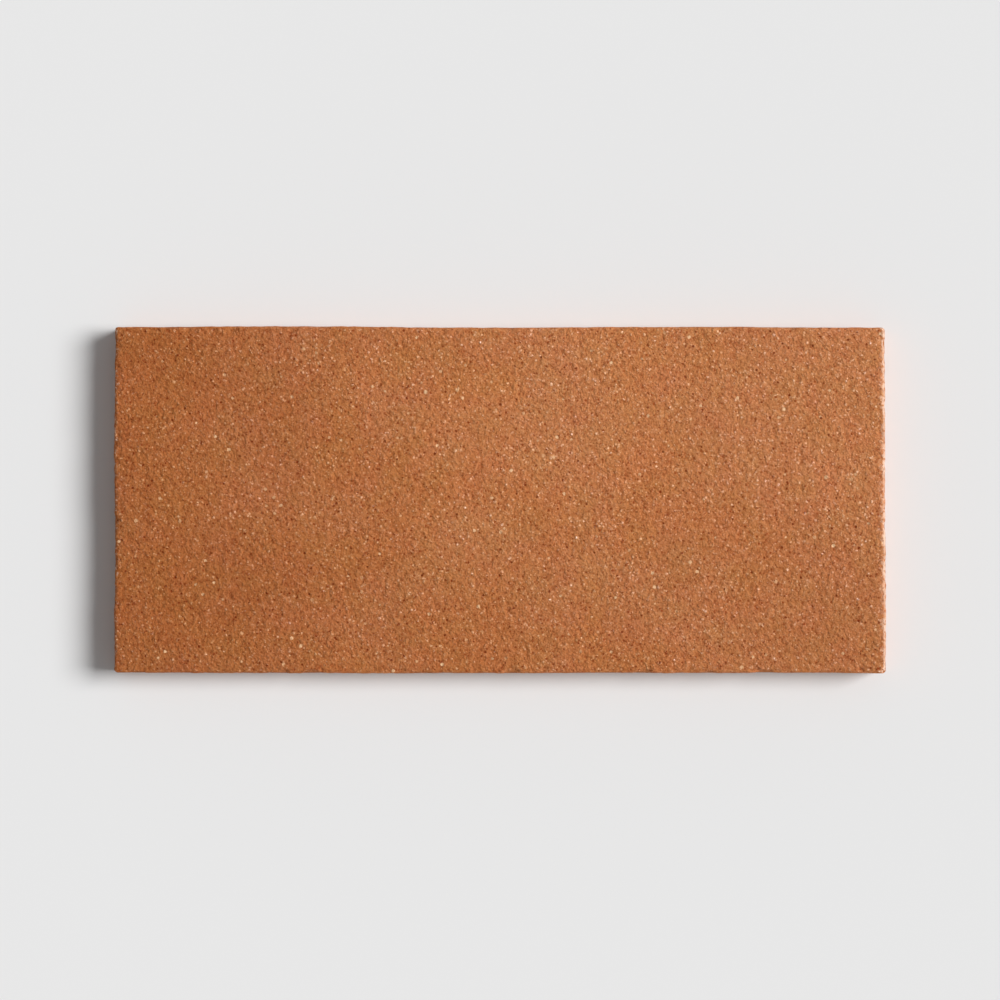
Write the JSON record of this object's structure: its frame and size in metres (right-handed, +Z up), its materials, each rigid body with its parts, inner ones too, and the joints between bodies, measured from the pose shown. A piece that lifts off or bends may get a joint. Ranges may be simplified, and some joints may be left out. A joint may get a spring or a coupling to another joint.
{
  "type": "terracotta tile",
  "caption": "Flat rectangular floor tile of fired terracotta: an extruded slab with softened arrises and a back keyed by dovetail grooves for bedding mortar.",
  "frame": {"origin": "centre of the back, on the plane of the bedding ribs that the tile lies on", "axes": "+X along the tile's length, which is the extrusion; +Y across its width; +Z up through its face"},
  "size_m": [0.3, 0.135, 0.015],
  "materials": {
    "terracotta": "matte"
  },
  "bodies": {
    "root": {"tile": "terracotta"}
  },
  "joints": []
}
